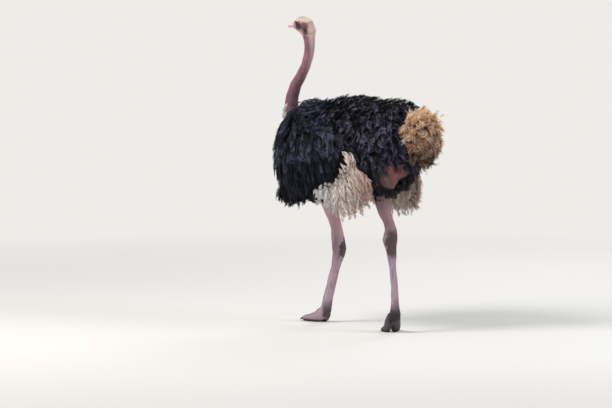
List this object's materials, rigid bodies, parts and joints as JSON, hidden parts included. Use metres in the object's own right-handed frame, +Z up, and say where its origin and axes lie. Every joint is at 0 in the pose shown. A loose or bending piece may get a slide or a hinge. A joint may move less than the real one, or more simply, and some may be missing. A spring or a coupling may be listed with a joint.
{
  "type": "ostrich",
  "caption": "Life-size still model of a walking male ostrich: long bare neck, small head, shaggy dark body, pale drooping wing plumes, bushy brown tail, long bare legs with toed feet.",
  "frame": {"origin": "on the floor, under the middle of the bounding box", "axes": "-X is the way the bird faces, -Y is its left side, +Z is up"},
  "size_m": [1.2208, 0.772, 1.981],
  "materials": {
    "black_plumage": "satin",
    "pale_plumage": "matte",
    "tail_plumage": "matte",
    "neck_skin": "matte",
    "head_down": "matte",
    "ear_skin": "matte",
    "eye": "gloss",
    "bill_horn": "satin",
    "thigh_skin": "matte",
    "leg_skin": "matte",
    "leg_scutes": "satin",
    "pad_skin": "matte",
    "claw_horn": "satin"
  },
  "bodies": {
    "root": {"eye_left": "eye", "ear_left": "ear_skin", "wing_left": "black_plumage", "wing_plumes_left": "pale_plumage", "thigh_left": "thigh_skin", "shank_left": "leg_skin", "ankle_left": "leg_skin", "tarsus_left": "leg_scutes", "foot_left": "pad_skin", "big_toe_left": "leg_scutes", "outer_toe_left": "leg_scutes", "big_claw_left": "claw_horn", "outer_claw_left": "claw_horn", "eye_right": "eye", "ear_right": "ear_skin", "wing_right": "black_plumage", "wing_plumes_right": "pale_plumage", "thigh_right": "thigh_skin", "shank_right": "leg_skin", "ankle_right": "leg_skin", "tarsus_right": "leg_scutes", "foot_right": "pad_skin", "big_toe_right": "leg_scutes", "outer_toe_right": "leg_scutes", "big_claw_right": "claw_horn", "outer_claw_right": "claw_horn", "bill_upper": "bill_horn", "bill_lower": "bill_horn", "head": "head_down", "neck_lower": "neck_skin", "neck_middle": "neck_skin", "neck_upper": "neck_skin", "trunk": "black_plumage", "tail": "tail_plumage"}
  },
  "joints": []
}
